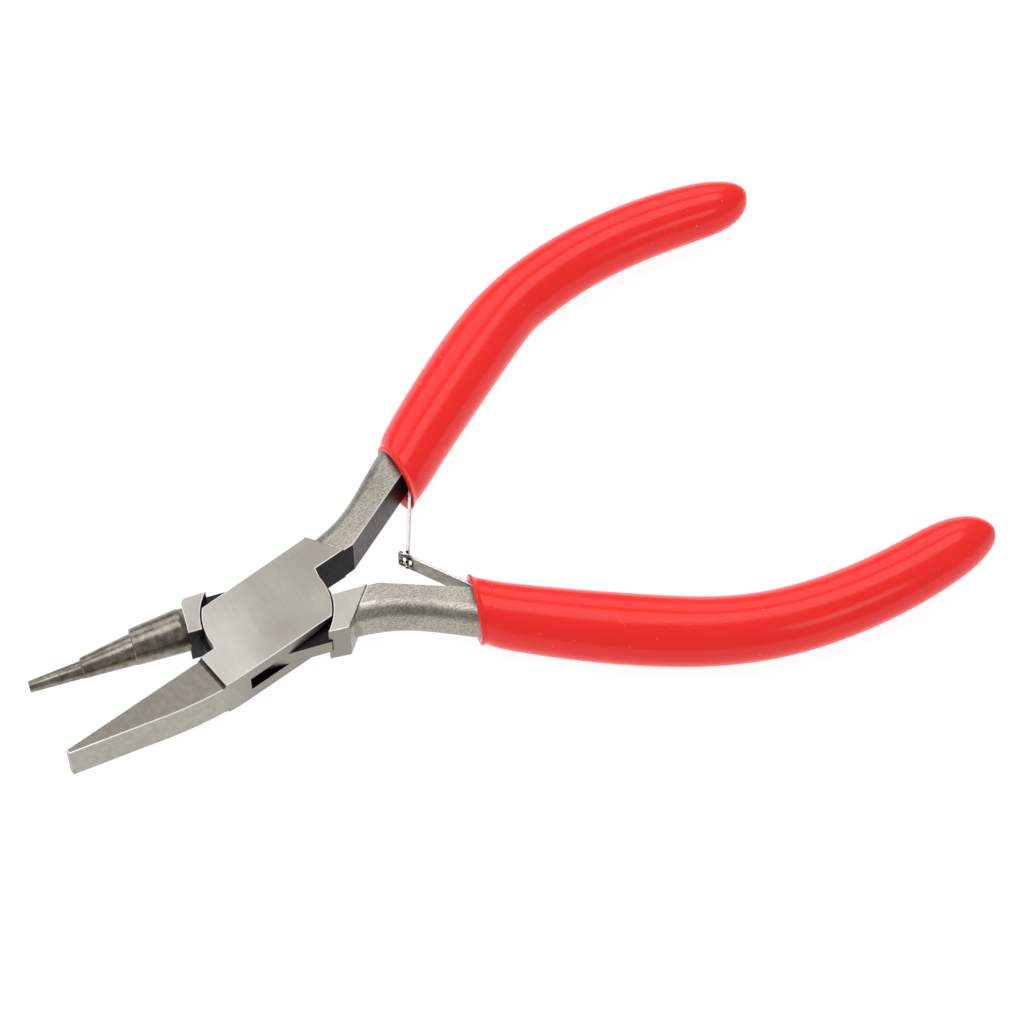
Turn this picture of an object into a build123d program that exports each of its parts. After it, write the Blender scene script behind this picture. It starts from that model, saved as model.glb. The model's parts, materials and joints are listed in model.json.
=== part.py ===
from build123d import *
from collections import namedtuple
import math
import os

# Wire looping pliers, lying flat, with a box joint: one half carries a flat jaw and a slotted box,
# the other a three-step round jaw and a tongue that turns inside that box. Millimetres and degrees.
# Each half is drawn closed in its own frame: pivot at the origin, X towards the handle end, Y towards
# the outer side of its own handle, Z = 0 on the mid-plane. place() then swings it open, mirrors the
# lower one and lifts both onto the underside of the joint.

# Stance
opening = 20.74            # angle between the two halves as they lie, sprung open
jaw_parting_y = -0.25      # line on which the closed jaws meet, in the slotted half's frame
jaw_gap = 0.04             # what is left between the closed jaws

# Box joint
joint_thickness = 6.8
box_half_width = 5.95
cheek_radius = 8.55        # rounded ends of the cheeks
cheek_front_y = 0.35       # height at which the round end starts, above the jaw
cheek_front_drop = 0.2     # how far below the box's side it ends
cheek_rear_y = -0.1        # height at which the other end stops, below the shank
cheek_notch = 0.25         # step from the jaw's gripping face up to the cheek
cheek_shank_run = 0.4      # from the cheek's end to where the shank's inner face starts
shoulder_gap = 0.22        # between a cheek end and the shoulder that circles it
tongue_thickness = 2.4
tongue_side_gap = 0.05     # above and below the tongue in its slot
tongue_radius = 9.2
pocket_gap = 0.15          # around the tongue's round ends
rivet_radius = 1.8
rivet_running_gap = 0.03
relief_depth = 1.0         # bevel filed inside the cheeks where the tongue swings out
relief_height = 1.7
relief_start_x = -0.5
slotted_corner_x = 11.0    # outer corner of the ground faces, towards the handle
slotted_corner_rise = 0.15  # above the box's side
tongue_corner_x = 9.6
tongue_corner_drop = 0.1   # below it
tongue_side_drop = 0.3     # rear shoulder's start, below the box's side
ground_short = 1.5         # the ground faces end this far short of the shank's bend

# Flat jaw
jaw_reach = 32.2           # pivot to jaw tip, both jaws
jaw_root_x = -10.9
flat_jaw_thickness = 5.6
flat_tip_width = 0.7
flat_jaw_knee = (-19.2, -4.4)
jaw_blend_x = -7.95        # where the jaw's outer side leaves the box's side
jaw_blend_middle = (-12.5, -5.65)

# Round jaw: x where each step begins, radius there, radius at its front end
jaw_steps = [(-11.4, 2.95, 2.48), (-17.9, 2.12, 1.43), (-25.0, 1.19, 0.79)]
step_inset = 0.04          # how far each thinner step's gripping side lies behind the last one's
shoulder_front_x = -10.4
shoulder_front_lean = 0.25
shoulder_outer_y = -5.5
shoulder_outer_lean = 0.1
shoulder_corner = 0.5
flare_inset = 0.1          # jaw's root flares out to this far inside the shoulder's edges

# Each handle: inner face of its shank next to the joint, lean of the grip's mouth off square to X, and
# the centreline from that mouth to the end. The two were bent and dipped by hand, so they differ.
Handle = namedtuple("Handle", "inner_y mouth_lean centreline")
upper_handle = Handle(1.3, -0.11, [(27.5, 7.65), (32.9, 10.66), (47.3, 16.8), (66.7, 21.4),
                                   (82.6, 19.3), (96.2, 14.6)])
lower_handle = Handle(0.15, 0.07, [(26.4, 6.7), (32.9, 10.14), (47.3, 16.8), (66.7, 21.4),
                                   (82.6, 19.5), (96.3, 15.3)])

# Shanks and the cores inside the grips
shank_thickness = 6.2
shank_start_x = 9.6
shank_bend_x = 15.2
shank_angle = 22.0
shank_straight = 20.5      # flat inner face, from the bend to past the spring's rivet
shank_outer = [(26.2, 9.85), (21.5, 7.5), (16.6, 5.45), (12.9, 4.75), (9.6, 4.6)]  # above the inner face
shank_rounding = 2.3
shank_run_out = 2.5        # slope from the ground box down to the shank
core_half_width = 2.35
core_start = 0.2           # share of the handle centreline
core_end = 0.9
core_nose = 0.02           # rounded end past that share

# Grip: share of the centreline, half width, half thickness
grip_sections = [(0.05, 4.25, 4.45), (0.13, 4.5, 4.6), (0.28, 4.72, 4.5), (0.5, 4.5, 4.3),
                 (0.75, 4.3, 4.05), (0.91, 4.15, 3.9), (0.965, 3.1, 3.4), (0.995, 1.5, 2.5)]
grip_mouth = (4.55, 4.6)   # half width and half thickness of the flared rim
grip_wall = 1.0
mouth_hollow = 0.13        # share of the centreline over which the sleeve stands off the shank

# Leaf springs
leaf_thickness = 0.45
leaf_height = 3.0
link_x = 20.7              # where the two leaves hook together, midway between the handles
leaf_root_along = 14.9     # shank bend to leaf root, along the inner face
leaf_foot = 3.6            # the part riveted to the shank
leaf_seat_gap = 0.02       # under the foot and under the rivet's head
hook_neck_height = 1.2     # tongue of the upper leaf
hook_neck_length = 0.7
hook_past_link = 0.9
hook_slot_length = 1.5     # slot of the lower leaf
hook_slot_side_gap = 0.15
slot_end_wall = 0.55
spring_rivet_along = 17.0  # shank bend to rivet
spring_rivet_radius = 0.7
spring_rivet_depth = 2.0
spring_rivet_head_radius = 1.1
spring_rivet_head_height = 0.4
spring_rivet_hole_gap = 0.05
spring_room = (5.6, 1.15, 4.0)   # hollow over the foot: along the shank, off it, across
leaf_play = 0.15           # between the leaf and the lip it leaves the sleeve by
leaf_overswing = 5.0       # the leaf's own turn past its place at rest, handles pulled wide

tool_reach = 20.0          # how far cutting shapes reach past the metal

half_opening = opening / 2
half_joint = joint_thickness / 2
shoulder_radius = cheek_radius + shoulder_gap
pocket_radius = tongue_radius + pocket_gap
shank_tilt = math.radians(shank_angle)
flat_grip_y = jaw_parting_y - jaw_gap / 2
round_grip_y = -jaw_parting_y - jaw_gap / 2        # in the tongue half's own frame


def on_circle(radius, y, side):
    """The point of that height on a circle about the pivot, side -1 towards the jaws, +1 the handles."""
    return (side * math.sqrt(radius**2 - y**2), y)


def arc_between(radius, start, end):
    """Arc about the pivot from start to end, both on that circle, the short way round."""
    first, last = math.atan2(start[1], start[0]), math.atan2(end[1], end[0])
    turn = (last - first + math.pi) % (2 * math.pi) - math.pi
    middle = first + turn / 2
    return ThreePointArc(start, (radius * math.cos(middle), radius * math.sin(middle)), end)


def slab(edges, thickness):
    """A flat plate with this outline, centred on the mid-plane."""
    return extrude(make_face(Wire(edges)), thickness / 2, both=True)


def both_faces(tool):
    """The tool and its mirror image on the other side of the mid-plane."""
    return [tool, mirror(tool, Plane.XY)]


def shank_inner(inner_y, along, off=0.0):
    """Point on the inner face of the shank past its bend, or that far off the face."""
    return (shank_bend_x + along * math.cos(shank_tilt) + off * math.sin(shank_tilt),
            inner_y + along * math.sin(shank_tilt) - off * math.cos(shank_tilt))


def beside_handle(line, share, offset):
    """Point beside the handle centreline, offset towards its outer side."""
    point, tangent = line @ share, line % share
    return (point.X - tangent.Y * offset, point.Y + tangent.X * offset)


def shank_and_core(handle):
    """The handle of a half: the bare shank with its rounded outer side, then the core inside the grip."""
    inner_y, line = handle.inner_y, Spline(handle.centreline)
    shares = [core_start + (core_end - core_start) * step / 4 for step in range(5)]
    inner_core = [beside_handle(line, share, -core_half_width) for share in shares]
    outer_core = [beside_handle(line, share, core_half_width) for share in reversed(shares)]
    outer_side = outer_core + [(x, inner_y + above) for x, above in shank_outer]
    start, bend = (shank_start_x, inner_y), (shank_bend_x, inner_y)
    mouth = shank_inner(inner_y, shank_straight)
    directions = [(math.cos(shank_tilt), math.sin(shank_tilt)), line % core_end]
    steel = slab([
        Line(start, bend),
        Line(bend, mouth),
        Spline([mouth] + inner_core, tangents=directions),
        ThreePointArc(inner_core[-1], beside_handle(line, core_end + core_nose, 0), outer_core[0]),
        Spline(outer_side),
        Line(outer_side[-1], start),
    ], shank_thickness)
    outer_edges = sorted(steel.edges(), key=lambda edge: edge.length)[-2:]
    return fillet(outer_edges, shank_rounding)


def ground_end(inner_corner, outer_corner):
    """Wedges that slope the joint's two faces down to the shank, along the line between the corners."""
    along = math.degrees(math.atan2(outer_corner[1] - inner_corner[1], outer_corner[0] - inner_corner[0]))
    top, low, far = half_joint, shank_thickness / 2, tool_reach
    profile = Polyline((0, top), (shank_run_out, low), (far, low), (far, far), (0, far), close=True)
    wedge = extrude(Plane.XZ * make_face(profile), tool_reach, both=True)
    wedge = Pos(inner_corner[0], inner_corner[1], 0) * Rot(0, 0, along - 90) * wedge
    return both_faces(wedge)


def slotted_half():
    """Flat jaw, the box with its two cheeks and the slot between them, and the upper handle."""
    notch = (-cheek_radius - cheek_notch, flat_grip_y)
    front_low = on_circle(cheek_radius, cheek_front_y, -1)
    front_top = on_circle(cheek_radius, box_half_width - cheek_front_drop, -1)
    rear_low = on_circle(cheek_radius, -box_half_width, 1)
    rear_top = on_circle(cheek_radius, cheek_rear_y, 1)
    outer_corner = (slotted_corner_x, box_half_width + slotted_corner_rise)
    inner_corner = (shank_bend_x - ground_short, upper_handle.inner_y)
    shank_corner = (cheek_radius + cheek_shank_run, upper_handle.inner_y)
    tip_x, tip_y = -jaw_reach, flat_grip_y - flat_tip_width
    body = slab([
        Line((tip_x, flat_grip_y), notch),
        Line(notch, front_low),
        arc_between(cheek_radius, front_low, front_top),
        Line(front_top, outer_corner),
        Line(outer_corner, inner_corner),
        Line(inner_corner, shank_corner),
        Line(shank_corner, rear_top),
        arc_between(cheek_radius, rear_top, rear_low),
        Line(rear_low, (jaw_blend_x, -box_half_width)),
        Spline([(jaw_blend_x, -box_half_width), jaw_blend_middle, flat_jaw_knee],
               tangents=[(-1, 0), (tip_x - flat_jaw_knee[0], tip_y - flat_jaw_knee[1])]),
        Line(flat_jaw_knee, (tip_x, tip_y)),
        Line((tip_x, tip_y), (tip_x, flat_grip_y)),
    ], joint_thickness)

    # The jaw is ground thinner than the box, with a hollow-ground step at its root.
    step = half_joint - flat_jaw_thickness / 2
    jaw_face = flat_jaw_thickness / 2
    wheel = step * (1 - math.sin(math.pi / 4))
    far_x, far_z = -jaw_reach - tool_reach, half_joint + tool_reach
    thinning = Wire([
        Line((far_x, jaw_face), (jaw_root_x - step, jaw_face)),
        ThreePointArc((jaw_root_x - step, jaw_face), (jaw_root_x - wheel, jaw_face + wheel),
                      (jaw_root_x, half_joint)),
        Line((jaw_root_x, half_joint), (jaw_root_x, far_z)),
        Line((jaw_root_x, far_z), (far_x, far_z)),
        Line((far_x, far_z), (far_x, jaw_face)),
    ])
    body -= both_faces(extrude(Plane.XZ * make_face(thinning), tool_reach, both=True))
    body += shank_and_core(upper_handle)
    body -= ground_end(inner_corner, outer_corner)

    # Slot for the tongue, a round pocket right across the box, and the rivet's hole.
    body -= Cylinder(pocket_radius, tongue_thickness + 2 * tongue_side_gap)
    body -= Cylinder(rivet_radius, joint_thickness)

    # Bevels inside the cheeks, where the tongue swings out at two opposite corners.
    low = tongue_thickness / 2
    bevel = Polyline((relief_start_x, low), (cheek_radius, low), (cheek_radius, low + relief_height),
                     close=True)
    bevel = extrude(Plane.XZ * make_face(bevel), tool_reach)
    for turn in (0, 180):
        body -= both_faces(Rot(0, 0, turn) * Pos(0, relief_depth - box_half_width, 0) * bevel)
    return body


def tongue_half():
    """Three-step round jaw, the tongue between its two shoulders, and the lower handle."""
    inner_y, flat = lower_handle.inner_y, box_half_width
    flat_front, flat_rear = on_circle(tongue_radius, -flat, -1), on_circle(tongue_radius, -flat, 1)
    top_front, top_rear = on_circle(tongue_radius, flat, -1), on_circle(tongue_radius, flat, 1)
    tongue = slab([
        Line(flat_front, flat_rear),
        arc_between(tongue_radius, flat_rear, top_rear),
        Line(top_rear, top_front),
        arc_between(tongue_radius, top_front, flat_front),
    ], tongue_thickness)

    # Front shoulder, full thickness, circling the cheek end.
    inside = on_circle(shoulder_radius, 0, -1)
    outside = on_circle(shoulder_radius, shoulder_outer_y, -1)
    side_end = (shoulder_front_x + shoulder_corner, shoulder_outer_y + shoulder_outer_lean)
    front_start = (shoulder_front_x, side_end[1] + shoulder_corner)
    front_end = (shoulder_front_x - shoulder_front_lean, 0)
    front_shoulder = slab([
        arc_between(shoulder_radius, inside, outside),
        Line(outside, side_end),
        Line(side_end, front_start),
        Line(front_start, front_end),
        Line(front_end, inside),
    ], joint_thickness)

    # Rear shoulder and its facet towards the shank.
    inside = on_circle(shoulder_radius, inner_y, 1)
    outside = on_circle(shoulder_radius, flat - tongue_side_drop, 1)
    outer_corner = (tongue_corner_x, flat - tongue_corner_drop)
    inner_corner = (shank_bend_x - ground_short, inner_y)
    rear_shoulder = slab([
        arc_between(shoulder_radius, inside, outside),
        Line(outside, outer_corner),
        Line(outer_corner, inner_corner),
        Line(inner_corner, inside),
    ], joint_thickness)

    body = tongue + front_shoulder + rear_shoulder + shank_and_core(lower_handle)
    body -= ground_end(inner_corner, outer_corner)
    body += round_jaw()
    return body - Cylinder(rivet_radius + rivet_running_gap, joint_thickness)


def round_jaw():
    """Three tapered round steps whose gripping sides lie in one straight line, and the root's flare."""
    ends = [step[0] for step in jaw_steps[1:]] + [-jaw_reach]
    jaw = None
    for number, ((begin_x, begin_radius, end_radius), end_x) in enumerate(zip(jaw_steps, ends)):
        side = round_grip_y - step_inset * number
        rings = [Plane((x, side - radius, 0), z_dir=(-1, 0, 0)) * Circle(radius)
                 for x, radius in ((begin_x, begin_radius), (end_x, end_radius))]
        step = loft(rings, ruled=True)
        jaw = step if jaw is None else jaw + step
    begin_x, begin_radius, _ = jaw_steps[0]
    middle_y = (shoulder_outer_y + flare_inset) / 2
    wide = Plane((shoulder_front_x + flare_inset, middle_y, 0), z_dir=(-1, 0, 0)) * Ellipse(
        joint_thickness / 2 - flare_inset, -shoulder_outer_y / 2 - flare_inset)
    narrow = Plane((begin_x, round_grip_y - begin_radius, 0), z_dir=(-1, 0, 0)) * Circle(begin_radius)
    return jaw + loft([wide, narrow], ruled=True)


def pivot_rivet():
    """Plain rivet, pressed in both cheeks and ground flush with them."""
    return Cylinder(rivet_radius, joint_thickness)


def grip_skin(handle, wall=0.0, until=1.0):
    """Lofted outside of a grip, or the hollow of its mouth inside a wall."""
    line = Spline(handle.centreline)
    mouth = Plane(line @ 0, x_dir=(0, 0, 1), z_dir=(1, handle.mouth_lean, 0))
    rings = [mouth * Ellipse(grip_mouth[1] - wall, grip_mouth[0] - wall)]
    for share, half_width, half_thickness in grip_sections:
        if share > until:
            break
        point, tangent = line @ share, line % share
        ring_plane = Plane((point.X, point.Y, 0), x_dir=(0, 0, 1), z_dir=(tangent.X, tangent.Y, 0))
        rings.append(ring_plane * Ellipse(half_thickness - wall, half_width - wall))
    return loft(rings)


def leaf_line(inner_y):
    """Root of a leaf on its shank's inner face, then the link point, in that half's own frame."""
    turn = math.radians(half_opening)
    root = shank_inner(inner_y, leaf_root_along, leaf_seat_gap + leaf_thickness / 2)
    return root, (link_x * math.cos(turn), -link_x * math.sin(turn))


def bar(start, towards, begin, end, thickness, height):
    """A bar along the line from start towards a point, between two distances from start."""
    angle = math.degrees(math.atan2(towards[1] - start[1], towards[0] - start[0]))
    return (Pos(start[0], start[1], 0) * Rot(0, 0, angle)
            * Pos((begin + end) / 2, 0, 0) * Box(end - begin, thickness, height))


def spring_rivet(inner_y, hole_gap=0.0):
    """Round-headed rivet through the foot of the leaf into the shank, or the hole it needs."""
    x, y = shank_inner(inner_y, spring_rivet_along)
    seat = leaf_thickness + 2 * leaf_seat_gap
    outwards = Plane((x, y, 0), z_dir=(math.sin(shank_tilt), -math.cos(shank_tilt), 0))
    low = Align.CENTER, Align.CENTER, Align.MIN
    shaft = Pos(0, 0, -spring_rivet_depth) * Cylinder(
        spring_rivet_radius + hole_gap, spring_rivet_depth + seat, align=low)
    head = Pos(0, 0, seat) * Cylinder(spring_rivet_head_radius, spring_rivet_head_height, align=low)
    return outwards * (shaft + head)


def leaf(inner_y, past_link, blade_end):
    """A leaf's blade from its root to near the link, and the foot that its rivet holds."""
    root, link = leaf_line(inner_y)
    length = math.dist(root, link)
    along_shank = (root[0] + math.cos(shank_tilt), root[1] + math.sin(shank_tilt))
    strip = bar(root, link, 0, length + blade_end, leaf_thickness, leaf_height)
    strip += bar(root, link, 0, length + past_link, leaf_thickness, hook_neck_height)
    strip += bar(root, along_shank, 0, leaf_foot, leaf_thickness, leaf_height)
    strip += Pos(root[0], root[1], 0) * Cylinder(leaf_thickness / 2, leaf_height)
    return strip - spring_rivet(inner_y, spring_rivet_hole_gap)


def upper_leaf():
    """Leaf whose narrow end passes through the other's slot."""
    return leaf(upper_handle.inner_y, hook_past_link, -hook_neck_length)


def lower_leaf():
    """Leaf with the slot at its end."""
    past_link = hook_slot_length / 2 + slot_end_wall
    root, link = leaf_line(lower_handle.inner_y)
    length = math.dist(root, link)
    slot = bar(root, link, length - hook_slot_length / 2, length + hook_slot_length / 2,
               2 * leaf_thickness, hook_neck_height + 2 * hook_slot_side_gap)
    return leaf(lower_handle.inner_y, past_link, past_link) - slot


def grip(handle, steel):
    """Dipped vinyl sleeve: tight on the core, standing off the shank at its mouth, over the spring."""
    sleeve = grip_skin(handle) - grip_skin(handle, grip_wall, mouth_hollow) - steel
    room_long, room_off, room_across = spring_room
    middle = shank_inner(handle.inner_y, spring_rivet_along, room_off / 2)
    room = Box(room_long, room_off, room_across)
    sleeve -= Pos(middle[0], middle[1], 0) * Rot(0, 0, shank_angle) * room
    root, link = leaf_line(handle.inner_y)
    width = leaf_thickness + 2 * leaf_play
    for swing in (0, leaf_overswing):
        blade = bar((0, 0), (1, 0), 0, math.dist(root, link), width, leaf_height + 2 * leaf_play)
        heading = math.degrees(math.atan2(link[1] - root[1], link[0] - root[0]))
        sleeve -= Pos(root[0], root[1], 0) * Rot(0, 0, heading + swing) * blade
    return sleeve


def place(shape, side):
    """Swing a half open about the pivot, mirrored for the lower handle, and lift it onto its base."""
    if side < 0:
        shape = mirror(shape, Plane.XZ)
    return Pos(0, 0, half_joint) * Rot(0, 0, side * half_opening) * shape


def main():
    os.makedirs("parts", exist_ok=True)
    upper_rivet, lower_rivet = spring_rivet(upper_handle.inner_y), spring_rivet(lower_handle.inner_y)
    upper_steel = slotted_half() - upper_rivet
    lower_steel = tongue_half() - lower_rivet
    pieces = {
        "slotted_half": (upper_steel, 1),
        "tongue_half": (lower_steel, -1),
        "pivot_rivet": (pivot_rivet(), 1),
        "upper_grip": (grip(upper_handle, upper_steel), 1),
        "lower_grip": (grip(lower_handle, lower_steel), -1),
        "upper_leaf_spring": (upper_leaf(), 1),
        "lower_leaf_spring": (lower_leaf(), -1),
        "upper_spring_rivet": (upper_rivet, 1),
        "lower_spring_rivet": (lower_rivet, -1),
    }
    for name, (shape, side) in pieces.items():
        export_step(place(shape, side), f"parts/{name}.step")
    for name, handle, side in (("upper", upper_handle, 1), ("lower", lower_handle, -1)):
        root, _ = leaf_line(handle.inner_y)
        turn = math.radians(half_opening)
        x = root[0] * math.cos(turn) - root[1] * math.sin(turn)
        y = side * (root[0] * math.sin(turn) + root[1] * math.cos(turn))
        print(f"{name} leaf root: {x:.3f}, {y:.3f}, {half_joint:.3f}")


if __name__ == "__main__":
    main()
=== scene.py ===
# Wire looping pliers lying open: a flat jaw and a stepped round jaw on a box joint, red vinyl grips,
# and two hooked leaf springs between the handles.
import json
import math

import bmesh
import bpy
from mathutils import Matrix, Vector


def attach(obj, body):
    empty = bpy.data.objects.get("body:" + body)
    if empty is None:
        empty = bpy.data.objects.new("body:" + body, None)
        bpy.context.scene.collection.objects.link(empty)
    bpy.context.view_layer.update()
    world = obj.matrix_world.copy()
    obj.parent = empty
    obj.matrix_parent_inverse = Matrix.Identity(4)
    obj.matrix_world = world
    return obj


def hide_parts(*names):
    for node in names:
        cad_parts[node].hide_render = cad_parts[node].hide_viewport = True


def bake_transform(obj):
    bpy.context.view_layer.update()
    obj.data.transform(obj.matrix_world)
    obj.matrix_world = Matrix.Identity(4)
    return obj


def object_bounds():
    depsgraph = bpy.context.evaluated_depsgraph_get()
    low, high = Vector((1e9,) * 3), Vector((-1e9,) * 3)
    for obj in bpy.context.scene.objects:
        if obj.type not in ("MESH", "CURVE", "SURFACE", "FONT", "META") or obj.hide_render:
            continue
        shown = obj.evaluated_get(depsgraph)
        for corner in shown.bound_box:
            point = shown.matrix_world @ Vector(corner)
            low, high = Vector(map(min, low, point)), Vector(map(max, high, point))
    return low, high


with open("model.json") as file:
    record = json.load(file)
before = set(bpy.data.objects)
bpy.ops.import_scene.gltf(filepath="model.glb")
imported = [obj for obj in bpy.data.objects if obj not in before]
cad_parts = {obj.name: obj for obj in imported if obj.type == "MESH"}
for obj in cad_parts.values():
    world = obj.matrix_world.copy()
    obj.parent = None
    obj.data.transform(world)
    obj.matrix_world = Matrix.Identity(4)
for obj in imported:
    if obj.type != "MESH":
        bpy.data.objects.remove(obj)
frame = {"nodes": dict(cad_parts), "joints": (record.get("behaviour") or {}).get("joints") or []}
cad_box = [list(corner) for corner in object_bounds()]

# ---- The view ----
# A long lens on a copy stand, low on the lower handle's side and looking down on the joint. Its place
# is measured from the pivot.
joints = {joint["name"]: joint for joint in frame["joints"]}
pivot = Vector(joints["pivot"]["pos_m"])
camera = bpy.data.objects.new("camera", bpy.data.cameras.new("camera"))
bpy.context.scene.collection.objects.link(camera)
camera.data.lens, camera.data.sensor_width = 112.5, 36
camera.location = pivot + Vector((-0.07946, -0.21104, 0.3585))
camera.rotation_euler = Vector((0.2690, 0.4889, -0.8298)).to_track_quat("-Z", "Y").to_euler()
bpy.context.scene.camera = camera
bpy.context.scene.view_settings.view_transform = "Standard"

# ---- Flat jaw with the slotted box and the upper handle ----
# One drop forging of carbon steel. Its faces are ground on a belt, across the length of the tool; the
# notches and the inner face of the handle keep the dark scale. Its side faces are coloured darker as
# painted shade, and every ground edge gets a painted highlight in near-white.
half_opening = math.radians(joints["pivot"]["range_deg"][1]) / 2


def swung(side):
    """From a half's own closed frame, in millimetres, to where it lies open: side 1 upper, -1 lower."""
    turn = Matrix.Rotation(side * half_opening, 4, "Z")
    return Matrix.Translation(pivot) @ turn @ Matrix.Diagonal((0.001, side * 0.001, 0.001, 1))


def finished(name, work, body=None, side=None):
    """Puts a worked mesh into the scene as a piece, swung open first if a side is given."""
    if side:
        bmesh.ops.transform(work, matrix=swung(side), verts=work.verts)
        bmesh.ops.recalc_face_normals(work, faces=work.faces)
    piece = bpy.data.objects.new(name, bpy.data.meshes.new(name))
    work.to_mesh(piece.data)
    work.free()
    bpy.context.scene.collection.objects.link(piece)
    if body:
        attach(piece, body)
    return piece


class Wire:
    """A socket in a material. Signs between wires and numbers add Math nodes, node() adds any other."""

    def __init__(self, tree, socket=None):
        self.tree, self.socket = tree, socket

    def node(self, kind, settings=None, sockets=None, out=0):
        made = self.tree.nodes.new(kind)
        for name, value in (settings or {}).items():
            setattr(made, name, value)
        for name, value in (sockets or {}).items():
            if isinstance(value, Wire):
                self.tree.links.new(value.socket, made.inputs[name])
            else:
                made.inputs[name].default_value = value
        return Wire(self.tree, made.outputs[out])

    def maths(self, operation, *parts):
        return self.node("ShaderNodeMath", {"operation": operation}, dict(enumerate(parts)))

    def __add__(self, other):
        return self.maths("ADD", self, other)

    def __sub__(self, other):
        return self.maths("SUBTRACT", self, other)

    def __rsub__(self, other):
        return self.maths("SUBTRACT", other, self)

    def __mul__(self, other):
        return self.maths("MULTIPLY", self, other)

    __radd__, __rmul__ = __add__, __mul__


def noise(start, place, size, detail=2.0, rough=0.5):
    """Noise from 0 to 1 whose marks are about this size, in metres."""
    return start.node("ShaderNodeTexNoise", {}, {
        "Vector": place, "Scale": 1 / size, "Detail": detail, "Roughness": rough})


def ramp(value, low, high):
    """0 at low, 1 at high, with a soft start and end."""
    return value.node("ShaderNodeMapRange", {"interpolation_type": "SMOOTHSTEP"}, {
        "Value": value, "From Min": low, "From Max": high})


def blend_colour(amount, first, second):
    """The first colour where amount is 0, the second where it is 1."""
    return amount.node("ShaderNodeMix", {"data_type": "RGBA"}, {0: amount, 6: first, 7: second}, 2)


def material(name):
    """A new material, a wire to start from and its shader's sockets."""
    made = bpy.data.materials.new(name)
    made.use_nodes = True
    return made, Wire(made.node_tree), made.node_tree.nodes["Principled BSDF"].inputs


def connect(wire, socket):
    wire.tree.links.new(wire.socket, socket)


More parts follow.
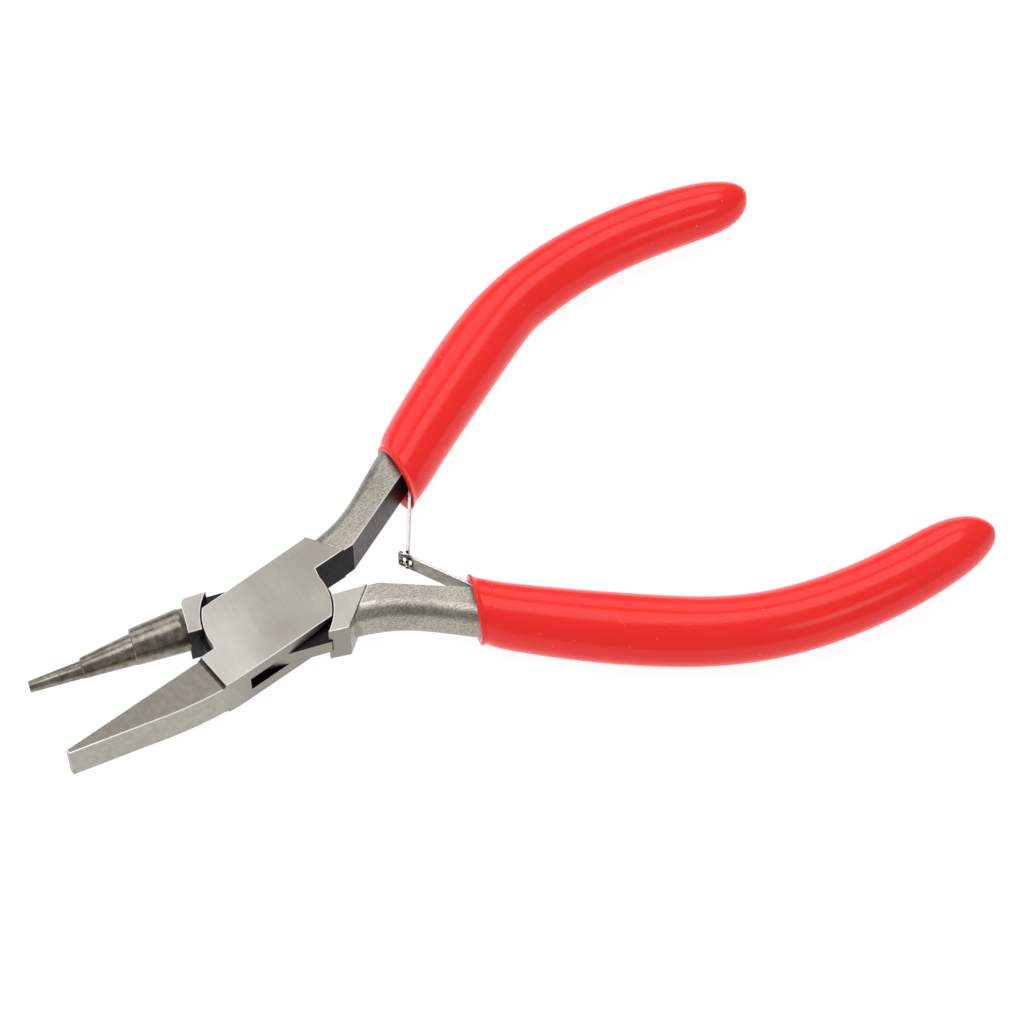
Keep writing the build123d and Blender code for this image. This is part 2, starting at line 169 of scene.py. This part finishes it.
def forged_steel(name, side):
    """Carbon steel of one half. Face attributes say which finish each face was left with, and where shade
    or a highlight is painted on.
    """
    steel, start, shader = material(name)
    place = start.node("ShaderNodeTexCoord", out=3)

    def along(x, y, z, turn=0.0):
        """Coordinates along the half as it lies open. A small factor draws the marks out that way."""
        return start.node("ShaderNodeMapping", {}, {
            "Vector": place, "Rotation": (0, 0, turn - side * half_opening), "Scale": (x, y, z)})

    def left_as(finish):
        return start.node("ShaderNodeAttribute", {"attribute_name": finish}, out=2)

    scale, flank, shank, polish = left_as("scale"), left_as("flank"), left_as("shank"), left_as("polish")
    # The last of these marks the faces that get a painted highlight.
    dull, rim = left_as("dull"), left_as("rim")

    # Marks: the belt's lines, hammer and tumbling marks on the shanks, stray scratches, rust pits.
    belt = noise(start, along(1, 0.045, 0.08), 0.00016, 3.0, 0.65)
    cross_belt = noise(start, along(0.12, 1, 0.5, math.radians(35)), 0.00018, 2.0, 0.6)
    swirl = noise(start, place, 0.0009, 3.0, 0.6)
    cloud = noise(start, place, 0.0075, 2.0, 0.45)
    coarse = noise(start, along(0.6, 1, 1, math.radians(-25)), 0.00021, 3.0, 0.75)
    scratches = ramp(noise(start, along(0.05, 1, 1, math.radians(-62)), 0.00012, 1.0, 0.4), 0.72, 0.8)
    pits = ramp(noise(start, place, 0.00055, 1.0, 0.4), 0.745, 0.79)

    # Colours: one for each finish, and the painted shade and highlight. The upper half is lighter towards
    # its jaw.
    rearward = start.node("ShaderNodeSeparateXYZ", {}, {0: place})
    towards_jaw = ramp(rearward, 0.001, -0.007) if side > 0 else 0.62
    grain = belt * 0.2 + cloud * 0.5 + towards_jaw * 0.32
    ground = blend_colour(ramp(grain, 0.2, 0.8), (0.315, 0.293, 0.262, 1), (0.52, 0.495, 0.465, 1))
    side_grain = ramp(belt * 0.4 + swirl * 0.6, 0.25, 0.75)
    # Side faces get a darker copy of the ground steel's colour: painted shade, darker still towards the
    # box.
    shaded_flank_colour = blend_colour(side_grain, (0.325, 0.31, 0.27, 1), (0.43, 0.415, 0.37, 1))
    shaded_flank_colour = blend_colour(ramp(rearward, -0.0115, -0.004), shaded_flank_colour, (0.285, 0.272, 0.235, 1))
    shank_grain = ramp(coarse * 0.65 + cross_belt * 0.25 + cloud * 0.25, 0.36, 0.78)
    shank_colour = blend_colour(shank_grain, (0.13, 0.11, 0.085, 1), (0.5, 0.472, 0.42, 1))
    brown = ramp(swirl * 0.6 + cloud * 0.5, 0.42, 0.68)
    polish_colour = blend_colour(brown, (0.16, 0.134, 0.105, 1), (0.29, 0.265, 0.235, 1))
    dull_colour = blend_colour(side_grain, (0.205, 0.188, 0.16, 1), (0.27, 0.25, 0.218, 1))
    flakes = ramp(noise(start, place, 0.0005, 3.0, 0.7), 0.5, 0.78)
    scale_colour = blend_colour(flakes, (0.008, 0.008, 0.008, 1), (0.036, 0.035, 0.033, 1))

    colour = blend_colour(flank, ground, shaded_flank_colour)
    colour = blend_colour(shank, colour, shank_colour)
    colour = blend_colour(polish, colour, polish_colour)
    colour = blend_colour(dull, colour, dull_colour)
    colour = blend_colour(scratches * (1 - scale) * 0.12, colour, (0.9, 0.88, 0.86, 1))
    colour = blend_colour(pits * shank * 0.8, colour, (0.05, 0.045, 0.04, 1))
    colour = blend_colour(scale, colour, scale_colour)
    # Painted highlight: broken edges and the jaw's step rims turn near-white and less metallic.
    connect(blend_colour(rim, colour, (0.93, 0.91, 0.88, 1)), shader["Base Color"])
    connect(1 - rim * 0.7, shader["Metallic"])

    # Gloss and relief.
    rough = belt * 0.16 + 0.26 + flank * 0.06 + shank * (0.05 - coarse * 0.12)
    connect(rough - polish * (0.12 - swirl * 0.1) + scale * 0.2, shader["Roughness"])
    height = belt * (1 - shank) * (1 - polish) * 0.5 + coarse * shank * 2.2 + swirl * polish * 0.25
    height = height + swirl * scale * 1.5 - pits * shank * 2.0
    bump = start.node("ShaderNodeBump", {}, {"Height": height, "Strength": 0.55, "Distance": 0.00003})
    connect(bump, shader["Normal"])
    return steel


# A face is level when its normal is this close to upright. The breaks are widths in millimetres.
level_normal = 0.998
hip_break, rim_break = 0.28, 0.12


def hip_edges(work):
    """The rear edges of the ground pads, where these drop to the shank."""
    hips = []
    for edge in work.edges:
        leans = max((face.normal.x for face in edge.link_faces), default=0) > 0.6
        top = max((abs(face.normal.z) for face in edge.link_faces), default=0) > level_normal
        behind_joint = 9 < min(vert.co.x for vert in edge.verts) < 14
        if leans and top and edge.calc_length() > 4 and behind_joint:
            hips.append(edge)
    return hips


def rim_edges(work):
    """The sharp edges round the ground faces, without the rivet's hole and the rest of the handle."""
    rims = []
    for edge in work.edges:
        if len(edge.link_faces) != 2 or edge.calc_face_angle(0) < math.radians(50):
            continue
        level = all(abs(abs(vert.co.z) - abs(edge.verts[0].co.z)) < 0.002 for vert in edge.verts)
        outer = min(abs(vert.co.z) for vert in edge.verts) > 2.7
        clear_of_rivet = min(vert.co.xy.length for vert in edge.verts) > 2.5
        ground = min(vert.co.x for vert in edge.verts) < 25
        flat = max(abs(face.normal.z) for face in edge.link_faces) > 0.98
        steep = min(abs(face.normal.z) for face in edge.link_faces) < 0.25
        if level and outer and clear_of_rivet and ground and flat and steep:
            rims.append(edge)
    return rims


def break_edges(work, edges, width, segments):
    """Rounds these edges over, in millimetres, and gives back the new faces."""
    faces = bmesh.ops.bevel(
        work, geom=edges, offset=width, offset_type="OFFSET", affect="EDGES", segments=segments,
        profile=0.5, material=-1, clamp_overlap=False, loop_slide=True)["faces"]
    work.normal_update()
    return faces


def forging_copy(node, name, side, body, finish_of, turn_jaw=None):
    """The forging with its loose triangles merged into faces, its face edges broken, its finishes, and
    its painted shade and highlights.
    """
    work = bmesh.new()
    work.from_mesh(frame["nodes"][node].data)
    finishes = ("scale", "flank", "shank", "polish", "dull", "rim")
    layers = {finish: work.faces.layers.float.new(finish) for finish in finishes}
    bmesh.ops.transform(work, matrix=swung(side).inverted(), verts=work.verts)
    bmesh.ops.remove_doubles(work, verts=work.verts, dist=0.001)
    if side < 0:
        bmesh.ops.reverse_faces(work, faces=work.faces)
    bmesh.ops.dissolve_limit(work, angle_limit=math.radians(0.5), verts=work.verts, edges=work.edges)
    if turn_jaw:
        turn_jaw(work)
    work.normal_update()
    break_edges(work, hip_edges(work), hip_break, 3)
    broken = break_edges(work, rim_edges(work), rim_break, 2)
    for face in work.faces:
        for finish, amount in finish_of(face.calc_center_median(), face.normal).items():
            face[layers[finish]] = amount
    # The rounded-over edges get a painted highlight.
    for face in broken:
        face[layers["rim"]] = 0.85
    if side < 0:
        bmesh.ops.reverse_faces(work, faces=work.faces)
    bmesh.ops.transform(work, matrix=swung(side), verts=work.verts)
    work.normal_update()
    piece = finished(name, work, body)
    piece.data.set_sharp_from_angle(angle=math.radians(24))
    for face in piece.data.polygons:
        face.use_smooth = face.area < 12e-6 and abs(face.normal.z) < level_normal
    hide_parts(node)
    return piece


# The slot through the box: half its height, and how far it reaches from the pivot.
slot_half_height, slot_reach = 1.3, 9.3


def box_side(at, facing):
    """The box's outer sides and the bevels filed inside its cheeks, which stay clean."""
    bevelled = abs(at.y) > 4.8 and 0.9 < abs(facing.z) < 0.99
    return bevelled or (abs(at.y) > 5.6 and abs(facing.y) > 0.9 and at.xy.length < 10)


def slotted_finish(at, facing):
    """What a face of this half was left with, and its painted shade, from its middle and its normal in
    the closed frame.
    """
    inside = facing.z * at.z < -0.1 or (abs(at.z) < slot_half_height and at.xy.length < slot_reach)
    if inside and not box_side(at, facing):
        return {"scale": 1.0}
    if at.x > 8.4 and facing.y < -0.3 and at.y > -0.5:
        return {"scale": 1.0} if at.x < 14.8 else {"scale": 0.7, "shank": 1.0}
    if at.x > 14.5 or (at.x > 11.5 and abs(facing.z) < 0.99):
        return {"shank": 1.0}
    if -12 < at.x < -10.6 and facing.x < -0.2 and 0.02 < abs(facing.z) < 0.98:
        return {"polish": 1.0, "scale": 0.6}
    if at.x < -10.9 and abs(facing.z) > 0.98:
        return {"dull": 1.0}
    # Side faces get the flank colour, a darker copy of the ground steel: painted shade.
    return {"flank": 1.0 if abs(facing.z) < 0.75 else 0.0}


slotted = forging_copy("slotted_half", "flat_jaw_half", 1, "slotted", slotted_finish)
slotted_steel = forged_steel("slotted_half_steel", 1)
slotted.data.materials.append(slotted_steel)

# ---- Stepped round jaw with the tongue and the lower handle ----
# The other forging. Its jaw is turned to three tapered steps and polished, the tongue passes through
# the box, and the shoulders that meet the cheeks are ground level with them.

# Where each step of the jaw begins along X, and its radius there and at its end, in millimetres.
jaw_steps = [(-11.4, 2.95, 2.48), (-17.9, 2.12, 1.43), (-25.0, 1.19, 0.79)]
jaw_root_x, jaw_tip_x = -11.45, -32.2
grip_line_y, step_inset = 0.23, 0.04


def turned_jaw(work):
    """The three steps turned afresh over the forged ones: each rim rounded, each foot with a fillet."""
    blank = [face for face in work.faces if face.calc_center_median().x < jaw_root_x]
    bmesh.ops.delete(work, geom=blank, context="FACES")
    bmesh.ops.holes_fill(work, edges=[edge for edge in work.edges if edge.is_boundary], sides=0)
    rings = [(-11.2, 2.8, grip_line_y - 0.1)]
    ends = [step[0] for step in jaw_steps[1:]] + [jaw_tip_x]
    for number, ((begin_x, begin, end), end_x) in enumerate(zip(jaw_steps, ends)):
        line = grip_line_y - step_inset * number
        if number:
            rings += [(begin_x, begin + 0.17, line), (begin_x - 0.05, begin + 0.06, line)]
        rings += [(begin_x - 0.17 if number else begin_x, begin, line), (end_x + 0.14, end, line),
                  (end_x + 0.05, end - 0.03, line - 0.01), (end_x, end - 0.1, line - 0.02)]
    loops, faces = [], []
    for x, radius, line in rings:
        place = Matrix.Translation((x, line - radius, 0)) @ Matrix.Rotation(math.pi / 2, 4, "Y")
        ring = bmesh.ops.create_circle(work, segments=64, radius=radius, matrix=place)["verts"]
        edges = list(dict.fromkeys(edge for vert in ring for edge in vert.link_edges))
        if loops:
            faces += bmesh.ops.bridge_loops(work, edges=loops[-1] + edges)["faces"]
        loops.append(edges)
    for loop in (loops[0], loops[-1]):
        faces += bmesh.ops.edgeloop_fill(work, edges=loop)["faces"]
    bmesh.ops.recalc_face_normals(work, faces=faces)


def tongue_finish(at, facing):
    """The same for this half, with a faint painted highlight on the rims of the jaw's steps."""
    if at.x < -10.6 or (at.x < -10.2 and facing.x < -0.3):
        # Faint painted highlight on the rounded rims of the jaw's steps.
        return {"polish": 1.0, "rim": 0.12 if -0.85 < facing.x < -0.35 and at.x < -12 else 0.0}
    tongue = abs(at.z) < slot_half_height and at.xy.length < slot_reach and not box_side(at, facing)
    shoulder_end = at.x < -8.3 and facing.y > 0.4
    against_cheek = abs(facing.z) < 0.5 and at.xy.length < 9.0 and not box_side(at, facing)
    if tongue or shoulder_end or against_cheek:
        return {"scale": 0.95}
    if at.x > 8.6 and facing.y < -0.4:
        return {"scale": 0.7, "shank": 1.0}
    if at.x > 14.0 or (at.x > 11.0 and abs(facing.z) < 0.99):
        return {"shank": 1.0}
    # Side faces get the flank colour, a darker copy of the ground steel: painted shade.
    return {"flank": 1.0 if abs(facing.z) < 0.75 else 0.0}


tongue = forging_copy("tongue_half", "round_jaw_half", -1, "tongue", tongue_finish, turned_jaw)
tongue.data.materials.append(forged_steel("tongue_half_steel", -1))

# ---- Pivot rivet ----
# Plain steel rivet pressed in both cheeks and ground flush together with them, so that the belt's
# lines run straight over it.
rivet = frame["nodes"]["pivot_rivet"]
rivet.data.materials.clear()
rivet.data.materials.append(slotted_steel)

# ---- Vinyl grips ----
# Red plastisol, dipped and cured on each handle: a thick glossy skin with a rolled rim at the mouth,
# standing off the shank over the spring, and a blunt drawn-out end. Dust and tiny blisters show in it.
red, start, shader = material("red_vinyl")
place = start.node("ShaderNodeTexCoord", out=3)
sag = noise(start, place, 0.011, 1.0, 0.4)
blisters = ramp(noise(start, place, 0.0011, 0.0, 0.4), 0.765, 0.83)
specks = ramp(noise(start, place, 0.00042, 0.0, 0.4), 0.845, 0.88)
skin = blend_colour(sag, (0.90, 0.020, 0.017, 1), (0.97, 0.028, 0.024, 1))
connect(blend_colour(specks * 0.55, skin, (0.95, 0.28, 0.24, 1)), shader["Base Color"])
connect(noise(start, place, 0.004) * 0.08 + 0.15 + specks * 0.25, shader["Roughness"])
height = sag * 3.0 + blisters * 0.3 + noise(start, place, 0.0014, 2.0) * 0.12
connect(start.node("ShaderNodeBump", {}, {"Height": height, "Strength": 0.5, "Distance": 0.0001}),
        shader["Normal"])
shader["Coat Weight"].default_value = 0.03
shader["Coat Roughness"].default_value = 0.05
shader["Specular IOR Level"].default_value = 0.27

# Rings from the bottom of the mouth's hollow, out over the rim and back to the handle's end:
# x, y, turn of the ring off square to X in degrees, half width, half thickness, in millimetres.
upper_rings = [
    (33.5, 10.6, 27, 3.0, 3.2), (30.2, 9.0, 15, 3.35, 3.4), (28.0, 7.9, -3, 3.5, 3.55),
    (27.45, 7.75, -7, 3.65, 3.8), (27.2, 7.75, -7, 4.1, 4.2), (27.3, 7.78, -7, 4.8, 4.9),
    (27.65, 7.93, -6, 4.72, 4.82), (27.95, 8.05, -5, 4.36, 4.46), (28.6, 8.35, -1, 4.5, 4.6),
    (30.0, 9.1, 13, 4.45, 4.58), (33.0, 10.7, 25, 4.5, 4.65), (40.0, 13.8, 24, 4.72, 4.62),
    (47.3, 16.95, 22, 4.86, 4.55), (54.8, 19.75, 16, 4.7, 4.45), (58.2, 20.62, 12, 4.42, 4.4),
    (61.5, 21.15, 7.5, 4.55, 4.4), (68.0, 21.55, -1, 4.5, 4.3), (75.5, 20.95, -8.5, 4.45, 4.2),
    (82.6, 19.5, -14, 4.4, 4.15), (88.0, 17.85, -18, 4.22, 4.0), (91.6, 16.5, -20, 3.95, 3.85),
    (94.2, 15.55, -24, 3.3, 3.3), (95.9, 14.9, -28, 2.35, 2.6), (96.9, 14.55, -30, 1.1, 1.6)]
lower_rings = [
    (33.0, 10.1, 27, 3.0, 3.2), (29.4, 8.1, 20, 3.3, 3.4), (26.9, 6.9, 6, 3.35, 3.5),
    (26.6, 6.4, 5.4, 3.65, 3.75), (26.35, 6.35, 5.4, 4.15, 4.15), (26.45, 6.4, 5.4, 4.9, 4.88),
    (26.8, 6.55, 6, 4.82, 4.8), (27.1, 6.75, 7, 4.44, 4.42), (27.7, 7.1, 9, 4.48, 4.55),
    (29.0, 8.1, 18, 4.35, 4.52), (32.7, 10.05, 26, 4.5, 4.6), (40.0, 13.65, 25, 4.78, 4.62),
    (47.3, 16.8, 22, 4.88, 4.55), (54.8, 19.6, 16, 4.7, 4.45), (61.5, 21.0, 7.5, 4.6, 4.4),
    (68.0, 21.4, -1, 4.58, 4.3), (75.5, 20.85, -8, 4.5, 4.2), (82.6, 19.5, -13, 4.42, 4.15),
    (88.0, 17.95, -16, 4.3, 4.0), (91.3, 17.1, -12, 3.9, 3.85), (93.8, 16.8, -2, 3.15, 3.3),
    (95.4, 17.0, 6, 2.1, 2.6), (96.4, 17.25, 10, 0.95, 1.6)]
ring_swell = 1.02   # makes up for what the smoothing draws in


def grip(name, node, body, side, rings):
    """Sleeve drawn through rings round the handle and closed at both ends, then smoothed."""
    work = bmesh.new()
    loops = []
    for x, y, turn, half_width, half_thickness in rings:
        place = (Matrix.Translation((x, y, 0)) @ Matrix.Rotation(math.radians(turn), 4, "Z")
                 @ Matrix.Rotation(math.pi / 2, 4, "Y")
                 @ Matrix.Diagonal((half_thickness, half_width, 1, 1)))
        ring = bmesh.ops.create_circle(work, segments=20, radius=ring_swell, matrix=place)["verts"]
        edges = list(dict.fromkeys(edge for vert in ring for edge in vert.link_edges))
        if loops:
            bmesh.ops.bridge_loops(work, edges=loops[-1] + edges)
        loops.append(edges)
    for loop in (loops[0], loops[-1]):
        cap = bmesh.ops.edgeloop_fill(work, edges=loop)["faces"]
        bmesh.ops.poke(work, faces=cap)
    for face in work.faces:
        face.smooth = True
    sleeve = finished(name, work, body, side)
    round_off = sleeve.modifiers.new("round", "SUBSURF")
    round_off.levels = round_off.render_levels = 3
    sleeve.data.materials.append(red)
    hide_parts(node)
    return sleeve


grip("upper_vinyl_grip", "upper_grip", "slotted", 1, upper_rings)
grip("lower_vinyl_grip", "lower_grip", "tongue", -1, lower_rings)

# ---- Leaf springs ----
# Two strips of bright rolled spring steel, riveted to the inner faces of the shanks. The upper one
# narrows to a neck that hooks through the slot near the lower one's end.
# From the pivot to where the leaves hook together, in millimetres.
hook_reach = 20.7
link = Vector((hook_reach * math.cos(half_opening), -hook_reach * math.sin(half_opening), 0))
# Where the painted shade by the hook is centred.
grime_centre = Vector((hook_reach * math.cos(half_opening) / 1000, 0, 0)) + pivot


def grimed(colour, place, grain, low, outer, inner):
    """The colour with black spots of painted shade by the hook, of this grain, fading from inner to outer
    away from it.
    """
    ends = {0: place, 1: tuple(grime_centre)}
    away = place.node("ShaderNodeVectorMath", {"operation": "DISTANCE"}, ends, 1)
    grime = ramp(away, outer, inner) * ramp(noise(place, place, grain, 1.0), low, low + 0.06)
    return blend_colour(grime, colour, (0.008, 0.007, 0.006, 1))


spring, start, shader = material("spring_strip")
place = start.node("ShaderNodeTexCoord", out=3)
drawn_out = start.node("ShaderNodeMapping", {}, {"Vector": place, "Scale": (0.3, 0.3, 1)})
rolled = noise(start, drawn_out, 0.0002, 3.0)
film = ramp(rolled * 0.4 + noise(start, place, 0.0016, 2.0) * 0.6, 0.3, 0.7)
colour = blend_colour(film, (0.19, 0.168, 0.135, 1), (0.33, 0.305, 0.265, 1))
# Painted shade by the hook darkens the strip there.
connect(grimed(colour, place, 0.0005, 0.42, 0.0021, 0.0012), shader["Base Color"])
connect(rolled * 0.15 + 0.2, shader["Roughness"])
connect(start.node("ShaderNodeBump", {}, {"Height": rolled, "Strength": 0.3, "Distance": 0.00001}),
        shader["Normal"])
shader["Metallic"].default_value = 1.0
sheared, start, shader = material("sheared_strip_edge")
place = start.node("ShaderNodeTexCoord", out=3)
burr = noise(start, place, 0.0004, 2.0)
colour = blend_colour(burr, (0.62, 0.60, 0.57, 1), (0.93, 0.92, 0.90, 1))
# Painted shade by the hook darkens the sheared edges there.
connect(grimed(colour, place, 0.0006, 0.44, 0.0024, 0.0014), shader["Base Color"])
connect(burr * 0.2 + 0.2, shader["Roughness"])
shader["Metallic"].default_value = 0.6

# In millimetres, like all the sizes of a leaf; bend is how much of the strip turns off the shank.
strip_thickness, strip_edge, foot_length, bend = 0.42, 0.07, 3.6, 0.5
shank_slope = Vector((math.cos(math.radians(22)), math.sin(math.radians(22)), 0))


def leaf(name, node, side, root, past_hook, necked):
    """A strip from its foot, round the bend at its root, to its necked or slotted end past the hook."""
    root = Vector(root)
    length = (link - root).length
    blade = (link - root) / length
    path = [root + shank_slope * foot_length, root + shank_slope * bend]
    for share in (0.25, 0.5, 0.75):
        path.append(root + shank_slope * bend * (1 - share) ** 2 + blade * bend * share**2)
    if necked:
        heights = (-1.5, -0.58, 0.58, 1.5)
        end_stops = (length - 1.3, length - 0.7, length - 0.1)
    else:
        heights = (-1.5, -0.72, 0.72, 1.5)
        end_stops = (length - 1.6, length - 0.75, length - 0.2, length + 0.75)
    stops = (bend, length * 0.3, length * 0.6, *end_stops, length + past_hook)
    path += [root + blade * stop for stop in stops]
    work = bmesh.new()
    row = [work.verts.new(path[0] + Vector((0, 0, height))) for height in heights]
    strands = [work.edges.new(pair) for pair in zip(row, row[1:])]
    for begin, end in zip(path, path[1:]):
        new = bmesh.ops.extrude_edge_only(work, edges=strands)["geom"]
        verts = [part for part in new if isinstance(part, bmesh.types.BMVert)]
        bmesh.ops.translate(work, verts=verts, vec=end - begin)
        strands = [part for part in new if isinstance(part, bmesh.types.BMEdge)]
    cut = []
    for face in work.faces:
        at = face.calc_center_median()
        reach, middle = (at - root).dot(blade), abs(at.z) < 0.3
        beside_neck = necked and not middle and reach > length - 0.72
        in_slot = not necked and middle and abs(reach - length) < 0.75
        if beside_neck or in_slot:
            cut.append(face)
    bmesh.ops.delete(work, geom=cut, context="FACES")
    strip = finished(name, work, None, side)
    thick = strip.modifiers.new("strip", "SOLIDIFY")
    thick.thickness, thick.offset, thick.material_offset_rim = strip_thickness / 1000, 0, 1
    edge = strip.modifiers.new("edge", "BEVEL")
    edge.width, edge.segments = strip_edge / 1000, 2
    edge.limit_method, edge.angle_limit = "ANGLE", math.radians(50)
    strip.data.materials.append(spring)
    strip.data.materials.append(sheared)
    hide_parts(node)
    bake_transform(strip)
    return strip


shank_corner_x, root_along, stand_off = 15.2, 14.9, 0.245


def leaf_root(shank_corner_y):
    """Where a leaf leaves its shank: along the inner face from its corner, just off the steel."""
    return (shank_corner_x + root_along * shank_slope.x + stand_off * shank_slope.y,
            shank_corner_y + root_along * shank_slope.y - stand_off * shank_slope.x, 0)


leaf("upper_leaf", "upper_leaf_spring", 1, leaf_root(1.3), 0.9, True)
leaf("lower_leaf", "lower_leaf_spring", -1, leaf_root(0.15), 1.3, False)

# ---- Spring rivets ----
# Small round-headed steel rivets through the feet of the two leaves, pressed in the shanks inside the
# mouths of the grips.
head_steel, start, shader = material("rivet_heads")
place = start.node("ShaderNodeTexCoord", out=3)
tool_marks = noise(start, place, 0.0003, 3.0, 0.6)
connect(blend_colour(tool_marks, (0.34, 0.32, 0.30, 1), (0.62, 0.60, 0.57, 1)), shader["Base Color"])
connect(tool_marks * 0.2 + 0.25, shader["Roughness"])
connect(start.node("ShaderNodeBump", {}, {"Height": tool_marks, "Strength": 0.4, "Distance": 0.00002}),
        shader["Normal"])
shader["Metallic"].default_value = 1.0
for node in ("upper_spring_rivet", "lower_spring_rivet"):
    frame["nodes"][node].data.materials.clear()
    frame["nodes"][node].data.materials.append(head_steel)

# ---- Table and light ----
# A white light table under the tool, one long soft box overhead, a second behind it and a small one
# low in front.
table_gap = 0.0003
floor_mesh = bmesh.new()
bmesh.ops.create_grid(floor_mesh, x_segments=1, y_segments=1, size=1.5)
bmesh.ops.translate(floor_mesh, verts=floor_mesh.verts, vec=(0, 0, cad_box[0][2] - table_gap))
floor = finished("table", floor_mesh)
white, start, shader = material("white_table")
shader["Base Color"].default_value = (0.2, 0.2, 0.2, 1)
shader["Roughness"].default_value = 0.6
shader["Emission Color"].default_value = (1, 1, 1, 1)
shader["Emission Strength"].default_value = 0.92
floor.data.materials.append(white)


def soft_box(name, towards, distance, width, height, radiance):
    """Rectangular lamp in that direction from the joint, facing it."""
    lamp = bpy.data.objects.new(name, bpy.data.lights.new(name, "AREA"))
    lamp.data.shape, lamp.data.size, lamp.data.size_y = "RECTANGLE", width, height
    lamp.data.energy = radiance * math.pi * width * height
    lamp.location = Vector((0.03, 0, 0)) + Vector(towards).normalized() * distance
    lamp.rotation_euler = Vector(towards).to_track_quat("Z", "Y").to_euler()
    bpy.context.scene.collection.objects.link(lamp)


soft_box("overhead_box", (0, 0.13, 1), 0.8, 1.3, 0.42, 2.2)
soft_box("rear_box", (0.1, 0.9, 0.75), 0.9, 1.5, 0.5, 1.3)
soft_box("front_box", (0.25, -0.75, 0.62), 0.9, 0.35, 0.22, 2.2)

world = bpy.data.worlds.new("studio")
bpy.context.scene.world = world
world.use_nodes = True
world.node_tree.nodes["Background"].inputs["Color"].default_value = (1.0, 0.99, 0.98, 1)
world.node_tree.nodes["Background"].inputs["Strength"].default_value = 0.42
